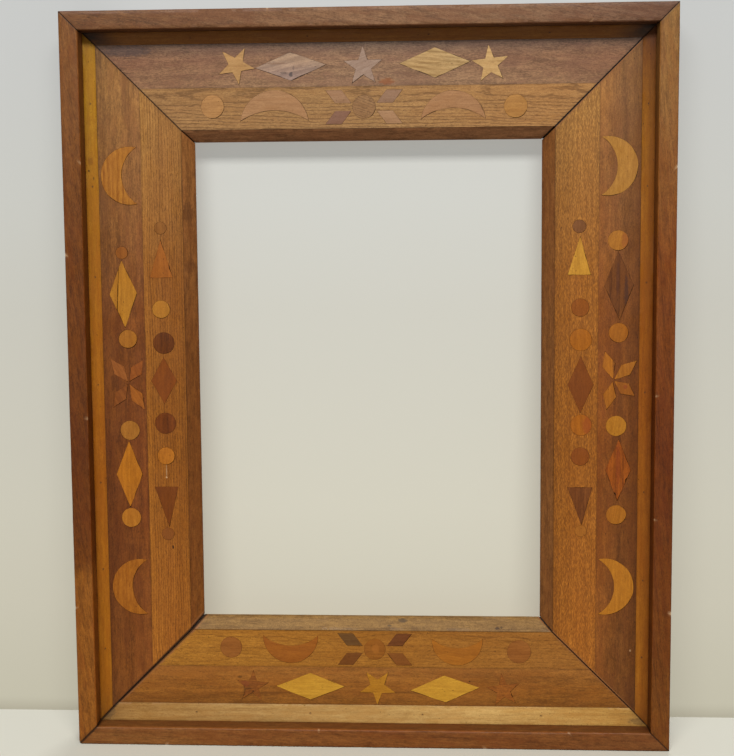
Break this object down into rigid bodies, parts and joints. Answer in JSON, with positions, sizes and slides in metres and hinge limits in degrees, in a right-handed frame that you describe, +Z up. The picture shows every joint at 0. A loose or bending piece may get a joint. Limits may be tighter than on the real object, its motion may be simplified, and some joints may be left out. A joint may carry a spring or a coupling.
{
  "type": "inlaid picture frame",
  "caption": "Rectangular mitred picture frame with a deep rim, dark and oak bands, let-in star, crescent, diamond and disc inlays, and a rebate for glass at the back.",
  "frame": {"origin": "on the floor plane, at the middle of the frame's width and depth", "axes": "+Z up, the frame's front faces -Y, +X to the right as seen from the front"},
  "size_m": [0.57, 0.042, 0.703],
  "materials": {
    "rim_wood": "red-brown close-grained wood, worn oil finish",
    "slip_wood": "golden pale wood, worn oil finish",
    "walnut": "brown walnut, thin satin finish",
    "oak": "open-pored golden oak, thin satin finish",
    "sight_wood": "red-brown close-grained wood, satin",
    "inlay_pale": "pale tan wood, satin",
    "inlay_grey": "pinkish grey wood, satin",
    "inlay_yellow": "yellow wood, satin",
    "inlay_orange": "orange-brown wood, satin",
    "inlay_red": "red-brown wood, satin",
    "inlay_dark": "dark purple-brown wood, satin",
    "steel": "dull dark nail steel"
  },
  "bodies": {
    "root": {"top_rim": "rim_wood", "bottom_rim": "rim_wood", "left_rim": "rim_wood", "right_rim": "rim_wood", "top_light_slip": "slip_wood", "bottom_light_slip": "slip_wood", "left_light_slip": "slip_wood", "right_light_slip": "slip_wood", "top_walnut_band": "walnut", "bottom_walnut_band": "walnut", "left_walnut_band": "walnut", "right_walnut_band": "walnut", "top_oak_band": "oak", "bottom_oak_band": "oak", "left_oak_band": "oak", "right_oak_band": "oak", "top_sight_slip": "sight_wood", "bottom_sight_slip": "sight_wood", "left_sight_slip": "sight_wood", "right_sight_slip": "sight_wood", "top_outer_stars": "inlay_pale", "top_middle_star": "inlay_grey", "top_left_diamond": "inlay_grey", "top_right_diamond": "inlay_pale", "top_discs": "inlay_pale", "top_crescents": "inlay_orange", "top_flower_disc": "oak", "top_flower_petals": "inlay_grey", "bottom_outer_stars": "walnut", "bottom_middle_star": "inlay_yellow", "bottom_diamonds": "inlay_yellow", "bottom_discs": "inlay_red", "bottom_crescents": "inlay_orange", "bottom_flower_disc": "inlay_orange", "bottom_flower_petals": "inlay_dark", "left_crescents": "inlay_orange", "left_diamonds": "inlay_yellow", "left_discs": "inlay_yellow", "left_flower_petals": "inlay_orange", "left_upper_triangle": "inlay_red", "left_lower_triangle": "inlay_dark", "left_pale_discs": "inlay_yellow", "left_dark_discs": "inlay_dark", "left_small_discs": "inlay_red", "left_oak_diamond": "inlay_red", "right_crescents": "inlay_yellow", "right_upper_diamond": "inlay_dark", "right_lower_diamond": "inlay_orange", "right_discs": "inlay_yellow", "right_flower_petals": "inlay_orange", "right_upper_triangle": "inlay_yellow", "right_lower_triangle": "inlay_dark", "right_red_discs": "inlay_red", "right_small_discs": "inlay_dark", "right_oak_diamond": "inlay_red", "slip_brads": "steel", "corner_nails": "steel"}
  },
  "joints": []
}
